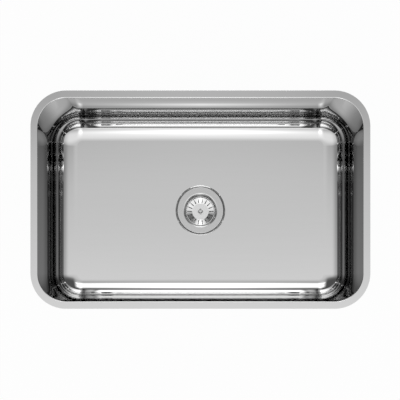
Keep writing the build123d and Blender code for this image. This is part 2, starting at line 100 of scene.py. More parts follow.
# ---- lift-out basket and its knob ----------------------------------------------------------
BASKET_SHEET = 0.0008
BASKET_BORE = 0.003
BASE_RADIUS = 0.0196  # flat bottom
PETAL_RADIUS = 0.033  # from the flat bottom out to the foot of the wall
PETAL_RISE = 0.0049
WALL_TOP_RADIUS = 0.0334
LIP_BEND = 0.0003
WALL_BEND = 0.001
BASE_BEND = 0.002
SLOT_COUNT = 18
SLOT_WIDTH = 0.0021
SLOT_START = 0.0203
SLOT_END = 0.0318
SLOT_STEPS = 4  # cuts round a quarter of a slot's end
PETAL_STEPS = 8  # cuts across one petal
KNOB_NECK_RADIUS = 0.0044
KNOB_NECK_HEIGHT = 0.0024
KNOB_TOP_ROUNDING = 0.0036
KNOB_UNDER_ROUNDING = 0.0012
KNOB_CAP_PART = 20  # the head is this many times as wide as the flat cap on top
KNOB_GRIPS = 4
KNOB_GRIP_DEPTH = 0.3  # share of the radius taken out between the lobes
KNOB_GRIP_FALL = 0.0022  # the top falls this much between the lobes, at its edge
KNOB_STEPS = 96

rim_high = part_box("sink_bowl")[1]
OPENING_X = rim_high.x - FLANGE_AT_ENDS  # half of the opening, left to right
OPENING_Y = rim_high.y - FLANGE_AT_FRONT
CORNER_RADIUS = RIM_CORNER_RADIUS - FLANGE_AT_ENDS
FLOOR_Z = -BOWL_DEPTH
RECESS_Z = FLOOR_Z - RECESS_DEPTH

# ---- studio: soft panels round the sky, in degrees away from straight overhead -------------
# name: brightness, half width, softness of its sides, towards the front, softness, towards the
# back, softness
PANELS = {
    "back_box": (4.113, 11.992, 23.145, 37.886, 70.0, 46.313, 17.373),
    "dome": (0.25, 54.06, 30.358, -68.265, 15.857, 11.743, 10.317),
    "core": (0.564, 98.357, 34.057, -47.124, 39.726, 7.106, 37.559),
    "front_strip": (0.811, 6.444, 15.685, -54.799, 5.0, -30.08, 58.93),
    "front_low": (2.053, 44.152, 70.0, -84.31, 5.0, -62.589, 22.859),
    "back_low": (7.997, 103.689, 22.771, 89.448, 61.796, 95.66, 5.46),
    "back_glow": (9.0, 14.196, 5.0, 26.881, 5.0, 26.302, 5.0),
    "front_glow": (1.104, 1.006, 18.729, -44.134, 5.206, -31.699, 5.834),
    "back_high": (0.428, 5.123, 9.185, 50.212, 5.0, 56.858, 16.954),
}
ROOM_LIGHT = 0.087
OVERHEAD = 0.0001  # a direction nearer to the vertical than this counts as this far off it
FLOOR_SIZE = 12.0
FLOOR_GAP = 0.0005  # under the lowest part
FLOOR_COLOUR = (0.9, 0.9, 0.9, 1)
FLOOR_ROUGHNESS = 0.9
FLOOR_GLOW = 0.96  # share of the floor's own white where a camera or a reflection sees it

GLOSSY_BOUNCES = 4  # light crosses the coves of the bowl several times

# ---- finishes ------------------------------------------------------------------------------
# Each finish goes between two colours and between two roughnesses. GRAIN, PEBBLES, CELLS and
# CLOUDS are in cells to the metre, and a DEPTH is in metres. A SPAN is the part of a pattern's
# values that goes from nothing to full.
STEEL_LIGHT = (0.81, 0.81, 0.81)
STEEL_DARK = (0.79, 0.79, 0.79)
STEEL_EDGE_TINT = (0.51, 0.51, 0.51)
STEEL_SMOOTHEST = 0.01
STEEL_ROUGHEST = 0.02
STEEL_MARKED = 0.006  # roughness that a handling mark adds
SIDE_WALL_PAINTED_SHADE = 0.42  # painted shade: the share of the colour kept on walls that face left or right
SIDE_WALL_SHADE_SPAN = (0.5, 1.0)  # of how far a wall faces left or right
STREAK_SPAN = (0.25, 0.75)

BRIGHT_LIGHT = (0.73, 0.73, 0.73)
BRIGHT_DARK = (0.71, 0.71, 0.71)
BRIGHT_SMOOTHEST = 0.1
BRIGHT_ROUGHEST = 0.15
# painted light: the basket's steel is near white, far brighter than the bowl's, standing in for
# the light on its petals
PAINTED_LIT_BASKET_LIGHT = (0.98, 0.98, 0.98)
PAINTED_LIT_BASKET_DARK = (0.95, 0.95, 0.95)
PAINTED_LIT_BASKET_EDGE_TINT = (1, 1, 1)
BASKET_SMOOTHEST = 0.16
BASKET_ROUGHEST = 0.22
TURNED_MARKED = 0.03
RING_SPAN = (0.3, 0.7)
RING_RISE = 0.6  # rings up a wall, against rings across a face
RING_DEPTH = 0.0000002

MARK_BREAKS = 14.0  # cells that break up a mark, against its patches
MARK_BREAK_SPAN = (0.2, 0.8)
MARK_EDGE = (0.8, 0.2)  # a mark starts at this share of its edge and is full this much past it
DUST_UPWARD_SPAN = (0.2, 1.0)  # of how far a face looks up
DUST_SPAN = (0.35, 0.8)

RUBBER_BLACK = (0.022, 0.022, 0.023)
RUBBER_DUSTY = (0.2, 0.19, 0.18)
RUBBER_SMOOTHEST = 0.52
RUBBER_ROUGHEST = 0.68
RUBBER_GRAIN = 1800.0
RUBBER_DEPTH = 0.00003

PAD_GREY = (0.055, 0.056, 0.058)
PAD_FLECK = (0.12, 0.12, 0.122)
PAD_DUSTY = (0.3, 0.29, 0.28)
PAD_SMOOTHEST = 0.72
PAD_ROUGHEST = 0.92
PAD_PEBBLES = 520.0
PAD_GRAIN = 2600.0
PAD_GRAIN_SPAN = (0.2, 0.8)
PAD_GRAIN_SHARE = 0.3  # height of the grain against the pebbles
PAD_FLECK_GRAIN = 900.0
PAD_FLECK_SPAN = (0.58, 0.72)
PAD_DEPTH = 0.00025

FIBRE_DARK = (0.2, 0.11, 0.055)
FIBRE_LIGHT = (0.36, 0.23, 0.13)
FIBRE_SMOOTHEST = 0.8
FIBRE_ROUGHEST = 0.95
FIBRE_GRAIN = 1500.0
FIBRE_TONE_SPAN = (0.3, 0.7)
FIBRE_ROUGH_SPAN = (0.2, 0.8)
FIBRE_DEPTH = 0.00008

FOAM_DARK = (0.1, 0.1, 0.1)
FOAM_LIGHT = (0.22, 0.22, 0.215)
FOAM_SMOOTHEST = 0.75
FOAM_ROUGHEST = 0.9
FOAM_CELLS = 2200.0
FOAM_SPAN = (0.1, 0.7)
FOAM_DEPTH = 0.00006

NUT_PLATED = (0.6, 0.575, 0.54)
NUT_WORN = (0.52, 0.46, 0.35)
NUT_SMOOTHEST = 0.22
NUT_ROUGHEST = 0.38
NUT_GRAIN = 1300.0
NUT_GRAIN_SPAN = (0.25, 0.75)
NUT_DEPTH = 0.00003

PLASTIC_YELLOWED = (0.74, 0.73, 0.69)
PLASTIC_WHITE = (0.82, 0.81, 0.78)
PLASTIC_SMOOTHEST = 0.35
PLASTIC_ROUGHEST = 0.5
PLASTIC_GLOW = 0.1  # share of the light that goes into the plastic
PLASTIC_GLOW_REACH = 0.002
PLASTIC_CLOUDS = 120.0
PLASTIC_GRAIN = 900.0
PLASTIC_DEPTH = 0.00002


# ---- shapes --------------------------------------------------------------------------------
def mix(first, last, share):
    """The value a share of the way from first to last."""
    return first + (last - first) * share


def bent_line(corners, bends):
    """(r, z, normal r, normal z) along runs between corners, the inner ones rounded by bends.

    The normal is on the right of the way the line runs.
    """
    line = []
    points = [Vector(corner) for corner in corners]

    def end_of_run(point, run):
        line.append((point.x, point.y, run.y, -run.x))

    run = (points[1] - points[0]).normalized()
    end_of_run(points[0], run)
    for index, bend in enumerate(bends, start=1):
        corner = points[index]
        next_run = (points[index + 1] - corner).normalized()
        opening = (-run).angle(next_run)
        if bend == 0:
            end_of_run(corner, run)
            end_of_run(corner, next_run)
        else:
            centre = corner + (next_run - run).normalized() * bend / math.sin(opening / 2)
            start = corner - run * bend / math.tan(opening / 2)
            spoke = start - centre
            side = 1 if spoke.dot(Vector((run.y, -run.x))) > 0 else -1
            sweep = (math.pi - opening) * (-1 if run.cross(next_run) < 0 else 1)
            for step in range(BEND_STEPS + 1):
                angle = sweep * step / BEND_STEPS
                turned = Vector((
                    spoke.x * math.cos(angle) - spoke.y * math.sin(angle),
                    spoke.x * math.sin(angle) + spoke.y * math.cos(angle),
                ))
                point = centre + turned
                out = turned.normalized() * side
                line.append((point.x, point.y, out.x, out.y))
        run = next_run
    end_of_run(points[-1], run)
    return line


def strips(first, row_count, count, split=0):
    """Faces between closed rows of so many points, the first point being number first.

    With a split, the rows are open after every so many points.
    """
    faces = []
    for row in range(row_count - 1):
        start = first + row * count
        for step in range(count):
            after = (step + 1) % count
            if split and after % split == 0:
                continue
            below = start + count
            faces.append((start + step, start + after, below + after, below + step))
    return faces


def new_object(name, points, faces, material):
    """An object made from points and faces, placed in the scene."""
    mesh = bpy.data.meshes.new(name)
    mesh.from_pydata(points, [], faces)
    mesh.materials.append(material)
    made = bpy.data.objects.new(name, mesh)
    bpy.context.scene.collection.objects.link(made)
    return made


def skin(name, sheets, body, material, splits=()):
    """A piece from sheets of closed rows of (point, normal), riding on a body.

    The first sheets may have splits, as strips() takes them.
    """
    points = []
    normals = []
    faces = []
    for index, rows in enumerate(sheets):
        split = splits[index] if index < len(splits) else 0
        faces += strips(len(points), len(rows), len(rows[0]), split)
        for row in rows:
            points.extend(point for point, normal in row)
            normals.extend(normal for point, normal in row)
    piece = new_object(name, points, faces, material)
    piece.data.shade_smooth()
    piece.data.normals_split_custom_set_from_vertices(normals)
    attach(piece, body)
    return piece


def round_the_bowl():
    """Where rows are cut, once round: (side x, side y, outward x, outward y).

    The sides are -1 to 1, the place of the upright corner's centre or a share of a wall.
    """
    corners = ((1, 1), (-1, 1), (-1, -1), (1, -1))
    cuts = []
    for index, (side_x, side_y) in enumerate(corners):
        next_x, next_y = corners[(index + 1) % len(corners)]
        for step in range(CORNER_STEPS + 1):
            angle = math.pi / 2 * (index + step / CORNER_STEPS)
            cuts.append((side_x, side_y, math.cos(angle), math.sin(angle)))
        out_x, out_y = cuts[-1][2:]
        for step in range(1, STRAIGHT_STEPS):
            share = step / STRAIGHT_STEPS
            cuts.append((mix(side_x, next_x, share), mix(side_y, next_y, share), out_x, out_y))
    return cuts


def lip_place(lean, share):
    """The bend from the flange, at share 0, into the wall: (past the wall, z, normal out, up)."""
    angle = math.pi / 2 + share * (math.pi / 2 - lean)
    past = EDGE_RADIUS * (1 / math.cos(lean) + math.cos(angle) - math.tan(lean) * math.sin(angle))
    return past, EDGE_RADIUS * (math.sin(angle) - 1), math.cos(angle), math.sin(angle)


def wall_place(lean, share):
    """The leaning wall between the lip, at share 0, and the cove."""
    top = EDGE_RADIUS * (math.sin(lean) - 1)
    bottom = FLOOR_Z + COVE_RADIUS * (1 - math.sin(lean))
    return 0, mix(top, bottom, share), -math.cos(lean), math.sin(lean)


def cove_place(lean, share):
    """The bend from the wall, at share 0, into the floor."""
    angle = lean + share * (math.pi / 2 - lean)
    past = COVE_RADIUS * (math.cos(angle) + math.tan(lean) * math.sin(angle) - 1 / math.cos(lean))
    z = FLOOR_Z + COVE_RADIUS * (1 - math.sin(angle))
    return past, z, -math.cos(angle), math.sin(angle)


def wall_row(cuts, place, share):
    """One row of (point, normal) round the bowl at a place on its section."""
    row = []
    for side_x, side_y, out_x, out_y in cuts:
        lean = math.atan(
            abs(out_x) * math.tan(END_WALL_LEAN) + abs(out_y) * math.tan(LONG_WALL_LEAN)
        )
        past, z, normal_out, normal_up = place(lean, share)
        centre_x = side_x * (OPENING_X - CORNER_RADIUS + z * math.tan(END_WALL_LEAN))
        centre_y = side_y * (OPENING_Y - CORNER_RADIUS + z * math.tan(LONG_WALL_LEAN))
        reach = CORNER_RADIUS + past
        point = Vector((centre_x + out_x * reach, centre_y + out_y * reach, z))
        row.append((point, Vector((out_x * normal_out, out_y * normal_out, normal_up))))
    return row


def rim_row(cuts, inset, z, normal_out, normal_up):
    """One row round the flange's outer edge."""
    row = []
    for side_x, side_y, out_x, out_y in cuts:
        point = Vector((
            side_x * (rim_high.x - RIM_CORNER_RADIUS) + out_x * (RIM_CORNER_RADIUS - inset),
            side_y * (rim_high.y - RIM_CORNER_RADIUS) + out_y * (RIM_CORNER_RADIUS - inset),
            z,
        ))
        row.append((point, Vector((out_x * normal_out, out_y * normal_out, normal_up))))
    return row


def drain_row(bearings, radius, z, normal_out, normal_up):
    """One row round the drain's axis, with a point at each bearing."""
    row = []
    for bearing in bearings:
        out_x = math.cos(bearing)
        out_y = math.sin(bearing)
        point = Vector((out_x * radius, out_y * radius, z))
        row.append((point, Vector((out_x * normal_out, out_y * normal_out, normal_up))))
    return row


def behind(rows, thickness=SHEET):
    """The other side of the sheet, run back the other way."""
    return [
        [(point - normal * thickness, -normal) for point, normal in row] for row in reversed(rows)
    ]


def make_bowl(material):
    """The pressed bowl: flange, walls, coves, floor, drain recess and hole."""
    cuts = round_the_bowl()
    pressed = [rim_row(cuts, RIM_EDGE, 0, 0, 1)]
    pressed += [wall_row(cuts, lip_place, step / BEND_STEPS) for step in range(BEND_STEPS + 1)]
    pressed += [wall_row(cuts, wall_place, step / WALL_STEPS) for step in range(1, WALL_STEPS)]
    pressed += [wall_row(cuts, cove_place, step / COVE_STEPS) for step in range(COVE_STEPS + 1)]
    first_cut = pressed[-1][0][0]
    first_bearing = math.atan2(first_cut.y, first_cut.x)
    bearings = [first_bearing + math.tau * index / len(cuts) for index in range(len(cuts))]
    recess = bent_line(
        [
            (FLOOR_END_RADIUS, FLOOR_Z),
            (RECESS_TOP_RADIUS, FLOOR_Z),
            (RECESS_BOTTOM_RADIUS, RECESS_Z),
            (DRAIN_HOLE_RADIUS, RECESS_Z),
        ],
        [RECESS_BEND, RECESS_BEND],
    )
    pressed += [drain_row(bearings, *place) for place in recess]
    hole_cut = [
        drain_row(bearings, DRAIN_HOLE_RADIUS, RECESS_Z, -1, 0),
        drain_row(bearings, DRAIN_HOLE_RADIUS, RECESS_Z - SHEET, -1, 0),
    ]
    rim_edge = [
        rim_row(cuts, RIM_EDGE, -SHEET, 0, -1),
        rim_row(cuts, 0, -SHEET, 0, -1),
    ]
    rim_side = [
        rim_row(cuts, 0, -SHEET, 1, 0),
        rim_row(cuts, 0, -RIM_EDGE, 1, 0),
        rim_row(cuts, RIM_EDGE, 0, 0, 1),
    ]
    sheets = [pressed, hole_cut, behind(pressed), rim_edge, rim_side]
    bowl = skin("pressed_bowl", sheets, "sink", material)
    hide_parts("sink_bowl")


def slot_cuts():
    """(radius, half width, way out along the slot, way out across it) from its outer end in."""
    half = SLOT_WIDTH / 2
    cuts = []
    for middle, first in ((SLOT_END - half, 0), (SLOT_START + half, math.pi / 2)):
        for step in range(SLOT_STEPS + 1):
            angle = first + math.pi / 2 * step / SLOT_STEPS
            cuts.append((
                middle + half * math.cos(angle),
                max(half * math.sin(angle), 0),
                math.cos(angle),
                math.sin(angle),
            ))
    return cuts


def make_basket(material):
    """The strainer's basket: a flat base, a ring of slotted petals, a steep wall and a lip."""
    low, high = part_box("basket_cup")
    lip_radius = high.x
    base_z = low.z + BASKET_SHEET
    petal_z = base_z + PETAL_RISE
    slope = math.atan2(PETAL_RISE, PETAL_RADIUS - BASE_RADIUS)

    def height_on_petal(radius):
        return base_z + (radius - BASE_RADIUS) * math.tan(slope)

    line = bent_line(
        [
            (lip_radius, high.z),
            (WALL_TOP_RADIUS, high.z),
            (PETAL_RADIUS, petal_z),
            (BASE_RADIUS, base_z),
            (BASKET_BORE, base_z),
        ],
        [LIP_BEND, WALL_BEND, BASE_BEND],
    )
    cuts = slot_cuts()
    slotted = [
        (radius, height_on_petal(radius), -math.sin(slope), math.cos(slope), half)
        for radius, half, _, _ in cuts
    ]
    outside = [(*place, 0) for place in line if place[0] > SLOT_END]
    inside = [(*place, 0) for place in line if place[0] < SLOT_START]
    pitch = math.tau / SLOT_COUNT
    rows = []
    for radius, z, normal_out, normal_up, half in outside + slotted + inside:
        clear = math.asin(half / radius)
        bearings = [
            pitch * petal + mix(clear, pitch - clear, step / PETAL_STEPS)
            for petal in range(SLOT_COUNT)
            for step in range(PETAL_STEPS + 1)
        ]
        rows.append(drain_row(bearings, radius, z, normal_out, normal_up))
    lip_top = [(point, Vector((point.x, point.y, 0)).normalized()) for point, _ in rows[0]]
    lip_foot = [(point - Vector((0, 0, BASKET_SHEET)), out) for point, out in lip_top]
    sheets = [rows, behind(rows, BASKET_SHEET), [lip_foot, lip_top]]
    splits = [PETAL_STEPS + 1] * len(sheets)
    loop = [(*cut, 1) for cut in cuts] + [(*cut, -1) for cut in reversed(cuts[1:-1])]
    for slot in range(SLOT_COUNT):
        upper = []
        lower = []
        for radius, half, along, across, side in loop:
            bearing = pitch * slot + side * math.asin(half / radius)
            out = Vector((math.cos(bearing), math.sin(bearing), 0))
            left = Vector((-out.y, out.x, 0))
            upward = Vector((0, 0, math.cos(slope))) - out * math.sin(slope)
            way_in = -(out * along + left * across * side)
            point = Vector((out.x * radius, out.y * radius, height_on_petal(radius)))
            upper.append((point, way_in))
            lower.append((point - upward * BASKET_SHEET, way_in))
        sheets.append([upper, lower])
    basket = skin("slotted_basket", sheets, "basket", material, splits)
    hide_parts("basket_cup")


def make_knob(material):
    """The knob that lifts the basket: a neck under a head with four finger grips."""
    low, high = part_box("basket_knob")
    head_z = low.z + KNOB_NECK_HEIGHT
    line = bent_line(
        [
            (BASKET_BORE, low.z),
            (KNOB_NECK_RADIUS, low.z),
            (KNOB_NECK_RADIUS, head_z),
            (high.x, head_z),
            (high.x, high.z),
            (high.x / KNOB_CAP_PART, high.z),
        ],
        [0, 0, KNOB_UNDER_ROUNDING, KNOB_TOP_ROUNDING],
    )
    points = []
    for radius, z, _, _ in line:
        for step in range(KNOB_STEPS):
            bearing = math.tau * step / KNOB_STEPS
            grip = (1 - math.cos(KNOB_GRIPS * bearing)) / 2 if z > low.z else 0
            share = radius / high.x
            reach = radius * (1 - KNOB_GRIP_DEPTH * grip * share)
            fall = KNOB_GRIP_FALL * grip * share**2 * (z - head_z) / (high.z - head_z)
            height = z - max(fall, 0)
            points.append((reach * math.cos(bearing), reach * math.sin(bearing), height))
    faces = strips(0, len(line), KNOB_STEPS)
    faces.append(tuple(range(len(points) - KNOB_STEPS, len(points))))
    knob = new_object("gripped_knob", points, faces, material)
    knob.data.shade_smooth()
    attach(knob, "basket")
    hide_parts("basket_knob")


# ---- materials -----------------------------------------------------------------------------
def new_group(name, inputs, outputs):
    """A shader node group with named float or vector sockets; returns its tree and its ends."""
    group = bpy.data.node_groups.new(name, "ShaderNodeTree")
    for socket_name, default in inputs.items():
        kind = "NodeSocketVector" if default is None else "NodeSocketFloat"
        socket = group.interface.new_socket(socket_name, in_out="INPUT", socket_type=kind)
        if default is not None:
            socket.default_value = default
    for socket_name in outputs:
        group.interface.new_socket(socket_name, in_out="OUTPUT", socket_type="NodeSocketFloat")
    start = group.nodes.new("NodeGroupInput")
    end = group.nodes.new("NodeGroupOutput")
    return group, start.outputs, end.inputs


def put(tree, socket, value):
    """Links an output into a socket, or sets the socket to a plain value."""
    if isinstance(value, bpy.types.NodeSocket):
        tree.links.new(value, socket)
    else:
        socket.default_value = value


def maths(tree, operation, *values):
    """The output of a Math node."""
    made = tree.nodes.new("ShaderNodeMath")
    made.operation = operation
    for socket, value in zip(made.inputs, values):
        put(tree, socket, value)
    return made.outputs["Value"]


def between(tree, value, low, high, to_low=0.0, to_high=1.0, smooth=False):
    """A value ramped from low..high to to_low..to_high and held at both ends."""
    ramp = tree.nodes.new("ShaderNodeMapRange")
    ramp.interpolation_type = "SMOOTHSTEP" if smooth else "LINEAR"
    settings = (
        ("Value", value),
        ("From Min", low),
        ("From Max", high),
        ("To Min", to_low),
        ("To Max", to_high),
    )
    for name, setting in settings:
        put(tree, ramp.inputs[name], setting)
    return ramp.outputs["Result"]


def placed(tree, group, **values):
    """A node group placed in a tree; returns its outputs."""
    made = tree.nodes.new("ShaderNodeGroup")
    made.node_tree = group
    for name, value in values.items():
        put(tree, made.inputs[name.replace("_", " ")], value)
    return made.outputs


def parts_of(tree, vector):
    """A vector's X, Y and Z."""
    made = tree.nodes.new("ShaderNodeSeparateXYZ")
    put(tree, made.inputs["Vector"], vector)
    return made.outputs


def off_the_axis(tree, parts):
    """How far a vector's parts reach from the Z axis."""
    squares = [maths(tree, "MULTIPLY", parts[axis], parts[axis]) for axis in "XY"]
    return maths(tree, "SQRT", maths(tree, "ADD", *squares))


def noise(tree, where, scale, detail=2.0, roughness=0.5):
    """The value of a Noise texture, in cells to the metre."""
    made = tree.nodes.new("ShaderNodeTexNoise")
    put(tree, made.inputs["Vector"], where)
    put(tree, made.inputs["Scale"], scale)
    put(tree, made.inputs["Detail"], detail)
    put(tree, made.inputs["Roughness"], roughness)
    return made.outputs["Fac"]


def cells(tree, where, scale, feature="F1"):
    """How far a point is from the middle of its cell, in cells to the metre."""
    made = tree.nodes.new("ShaderNodeTexVoronoi")
    made.feature = feature
    put(tree, made.inputs["Vector"], where)
    put(tree, made.inputs["Scale"], scale)
    return made.outputs["Distance"]


def two_tone(tree, share, first, second):
    """A colour that goes from first to second with share."""
    made = tree.nodes.new("ShaderNodeMix")
    made.data_type = "RGBA"
    put(tree, made.inputs["Factor"], share)
    for name, tone in (("A", first), ("B", second)):
        linked = isinstance(tone, bpy.types.NodeSocket)
        put(tree, made.inputs[name], tone if linked else (*tone, 1))
    return made.outputs["Result"]


def new_finish(name, **fixed):
    """An empty finish: its tree, its shader and the place on the piece."""
    material = bpy.data.materials.new(name)
    material.use_nodes = True
    tree = material.node_tree
    shader = tree.nodes["Principled BSDF"]
    for socket, value in fixed.items():
        shader.inputs[socket.replace("_", " ")].default_value = value
    where = tree.nodes.new("ShaderNodeTexCoord").outputs["Object"]
    return material, tree, shader, where


def set_colour(tree, shader, value):
    """Gives the surface a colour."""
    put(tree, shader.inputs["Base Color"], value)


def set_roughness(tree, shader, value):
    """Gives the surface a roughness."""
    put(tree, shader.inputs["Roughness"], value)


def bump(tree, shader, height, depth):
    """Raises the surface by height times depth, in metres."""
    made = tree.nodes.new("ShaderNodeBump")
    made.inputs["Strength"].default_value = 1.0
    made.inputs["Distance"].default_value = depth
    put(tree, made.inputs["Height"], height)
    put(tree, shader.inputs["Normal"], made.outputs["Normal"])


def make_brushed_grain():
    """Fine streaks along X, as a polishing belt leaves them."""
    group, given, made = new_group(
        "brushed_grain", {"Place": None, "Streaks": 900.0, "Stretch": 60.0}, ["Grain"]
    )
    squeeze = group.nodes.new("ShaderNodeVectorMath")
    squeeze.operation = "MULTIPLY"
    across = group.nodes.new("ShaderNodeCombineXYZ")
    put(group, across.inputs["X"], maths(group, "DIVIDE", 1.0, given["Stretch"]))
    across.inputs["Y"].default_value = 1.0
    across.inputs["Z"].default_value = 1.0
    put(group, squeeze.inputs[0], given["Place"])
    put(group, squeeze.inputs[1], across.outputs["Vector"])
    streaks = noise(group, squeeze.outputs["Vector"], given["Streaks"], detail=4, roughness=0.65)
    put(group, made["Grain"], between(group, streaks, *STREAK_SPAN))
    return group


def make_turned_rings():
    """Fine rings round the drain's axis, as a lathe leaves them."""
    group, given, made = new_group("turned_rings", {"Place": None, "Rings": 1400.0}, ["Rings"])
    parts = parts_of(group, given["Place"])
    line = group.nodes.new("ShaderNodeCombineXYZ")
    put(group, line.inputs["X"], off_the_axis(group, parts))
    put(group, line.inputs["Y"], maths(group, "MULTIPLY", parts["Z"], RING_RISE))
    rings = noise(group, line.outputs["Vector"], given["Rings"], detail=2, roughness=0.6)
    put(group, made["Rings"], between(group, rings, *RING_SPAN))
    return group


def make_handling_marks():
    """Soft smears from hands and dried water, 0 where the surface is clean."""
    group, given, made = new_group(
        "handling_marks", {"Place": None, "Patches": 9.0, "Cover": 0.5}, ["Marks"]
    )
    patches = noise(group, given["Place"], given["Patches"], detail=3, roughness=0.55)
    breaks = maths(group, "MULTIPLY", given["Patches"], MARK_BREAKS)
    broken = noise(group, given["Place"], breaks, detail=3)
    edge = maths(group, "SUBTRACT", 1.0, given["Cover"])
    edge_share, edge_width = MARK_EDGE
    start = maths(group, "MULTIPLY", edge, edge_share)
    soft = between(group, patches, start, maths(group, "ADD", edge, edge_width))
    worn_through = between(group, broken, *MARK_BREAK_SPAN)
    put(group, made["Marks"], maths(group, "MULTIPLY", soft, worn_through))
    return group


def make_settled_dust():
    """Dust caught on faces that look up, broken up by a fine noise."""
    group, given, made = new_group(
        "settled_dust", {"Place": None, "Cells": 260.0, "Amount": 0.3}, ["Dust"]
    )
    facing = group.nodes.new("ShaderNodeNewGeometry").outputs["Normal"]
    up = between(group, parts_of(group, facing)["Z"], *DUST_UPWARD_SPAN)
    specks = between(group, noise(group, given["Place"], given["Cells"], detail=5), *DUST_SPAN)
    caught = maths(group, "MULTIPLY", up, specks)
    put(group, made["Dust"], maths(group, "MULTIPLY", caught, given["Amount"]))
    return group


GRAIN = make_brushed_grain()
RINGS = make_turned_rings()
MARKS = make_handling_marks()
DUST = make_settled_dust()


def polished_bowl_steel():
    """The pressed bowl's steel: almost a mirror, with faint streaks from left to right, and
    painted shade darkening the walls that face left or right.
    """
    material, tree, shader, where = new_finish("polished_bowl_steel", Metallic=1.0)
    shader.inputs["Specular Tint"].default_value = (*STEEL_EDGE_TINT, 1)
    streaks = placed(tree, GRAIN, Place=where, Streaks=700.0, Stretch=50.0)["Grain"]
    bands = placed(tree, GRAIN, Place=where, Streaks=90.0, Stretch=30.0)["Grain"]
    marks = placed(tree, MARKS, Place=where, Patches=7.0, Cover=0.45)["Marks"]
    tone = maths(tree, "MULTIPLY", maths(tree, "ADD", streaks, bands), 0.5)
    # painted shade: the walls facing left or right get a darker colour
    facing = tree.nodes.new("ShaderNodeTexCoord").outputs["Normal"]
    sideways = maths(tree, "ABSOLUTE", parts_of(tree, facing)["X"])
    painted_side_shade = between(tree, sideways, *SIDE_WALL_SHADE_SPAN, 1.0, SIDE_WALL_PAINTED_SHADE, smooth=True)
    shade = tree.nodes.new("ShaderNodeVectorMath")
    shade.operation = "SCALE"
    put(tree, shade.inputs[0], two_tone(tree, tone, STEEL_DARK, STEEL_LIGHT))
    put(tree, shade.inputs["Scale"], painted_side_shade)
    set_colour(tree, shader, shade.outputs["Vector"])
    clean = between(tree, streaks, 0, 1, STEEL_SMOOTHEST, STEEL_ROUGHEST)
    handled = maths(tree, "MULTIPLY", marks, STEEL_MARKED)
    set_roughness(tree, shader, maths(tree, "ADD", clean, handled))
    return material


def turned_steel(name, dark, light, smoothest, roughest, edge_tint):
    """Steel with fine rings round the drain, for the strainer's body and its basket."""
    material, tree, shader, where = new_finish(name, Metallic=1.0)
    shader.inputs["Specular Tint"].default_value = (*edge_tint, 1)
    rings = placed(tree, RINGS, Place=where, Rings=1100.0)["Rings"]
    marks = placed(tree, MARKS, Place=where, Patches=30.0, Cover=0.5)["Marks"]
    set_colour(tree, shader, two_tone(tree, rings, dark, light))
    clean = between(tree, rings, 0, 1, smoothest, roughest)
    handled = maths(tree, "MULTIPLY", marks, TURNED_MARKED)
    set_roughness(tree, shader, maths(tree, "ADD", clean, handled))
    bump(tree, shader, rings, RING_DEPTH)
    return material


def moulded_rubber():
    """Black rubber of the seals, with a fine mould grain and a little dust."""
    material, tree, shader, where = new_finish("moulded_rubber")
    dust = placed(tree, DUST, Place=where, Cells=420.0, Amount=0.25)["Dust"]
    marks = placed(tree, MARKS, Place=where, Patches=40.0, Cover=0.5)["Marks"]
    set_colour(tree, shader, two_tone(tree, dust, RUBBER_BLACK, RUBBER_DUSTY))
    set_roughness(tree, shader, between(tree, marks, 0, 1, RUBBER_SMOOTHEST, RUBBER_ROUGHEST))
    bump(tree, shader, noise(tree, where, RUBBER_GRAIN, detail=3), RUBBER_DEPTH)
    return material


def pad_rubber():
    """The sound-deadening pads: dark filled rubber with a pebbled face."""
    material, tree, shader, where = new_finish("pad_rubber")
    pebbles = cells(tree, where, PAD_PEBBLES, "SMOOTH_F1")
    grain = noise(tree, where, PAD_GRAIN, detail=3)
    dust = placed(tree, DUST, Place=where, Cells=300.0, Amount=0.5)["Dust"]
    fleck = between(tree, noise(tree, where, PAD_FLECK_GRAIN, detail=4), *PAD_FLECK_SPAN)
    clean = two_tone(tree, fleck, PAD_GREY, PAD_FLECK)
    set_colour(tree, shader, two_tone(tree, dust, clean, PAD_DUSTY))
    rough = between(tree, grain, *PAD_GRAIN_SPAN, PAD_SMOOTHEST, PAD_ROUGHEST)
    set_roughness(tree, shader, rough)
    height = maths(tree, "ADD", pebbles, maths(tree, "MULTIPLY", grain, PAD_GRAIN_SHARE))
    bump(tree, shader, height, PAD_DEPTH)
    return material


def pressed_fibre():
    """The friction washer's brown fibre, matted and speckled."""
    material, tree, shader, where = new_finish("pressed_fibre")
    mat = noise(tree, where, FIBRE_GRAIN, detail=6, roughness=0.7)
    tone = between(tree, mat, *FIBRE_TONE_SPAN)
    set_colour(tree, shader, two_tone(tree, tone, FIBRE_DARK, FIBRE_LIGHT))
    rough = between(tree, mat, *FIBRE_ROUGH_SPAN, FIBRE_SMOOTHEST, FIBRE_ROUGHEST)
    set_roughness(tree, shader, rough)
    bump(tree, shader, mat, FIBRE_DEPTH)
    return material


def foamed_seal():
    """The grey closed-cell foam under the strainer's flange."""
    material, tree, shader, where = new_finish("foamed_seal")
    pores = between(tree, cells(tree, where, FOAM_CELLS), *FOAM_SPAN)
    set_colour(tree, shader, two_tone(tree, pores, FOAM_DARK, FOAM_LIGHT))
    set_roughness(tree, shader, between(tree, pores, 0, 1, FOAM_SMOOTHEST, FOAM_ROUGHEST))
    bump(tree, shader, pores, FOAM_DEPTH)
    return material


def cast_nut_metal():
    """Nickel-plated brass of the two nuts: a warm grey with the casting's skin showing."""
    material, tree, shader, where = new_finish("cast_nut_metal", Metallic=1.0)
    grain = noise(tree, where, NUT_GRAIN, detail=4, roughness=0.6)
    worn = placed(tree, MARKS, Place=where, Patches=60.0, Cover=0.42)["Marks"]
    set_colour(tree, shader, two_tone(tree, worn, NUT_PLATED, NUT_WORN))
    set_roughness(tree, shader, between(tree, grain, *NUT_GRAIN_SPAN, NUT_SMOOTHEST, NUT_ROUGHEST))
    bump(tree, shader, grain, NUT_DEPTH)
    return material


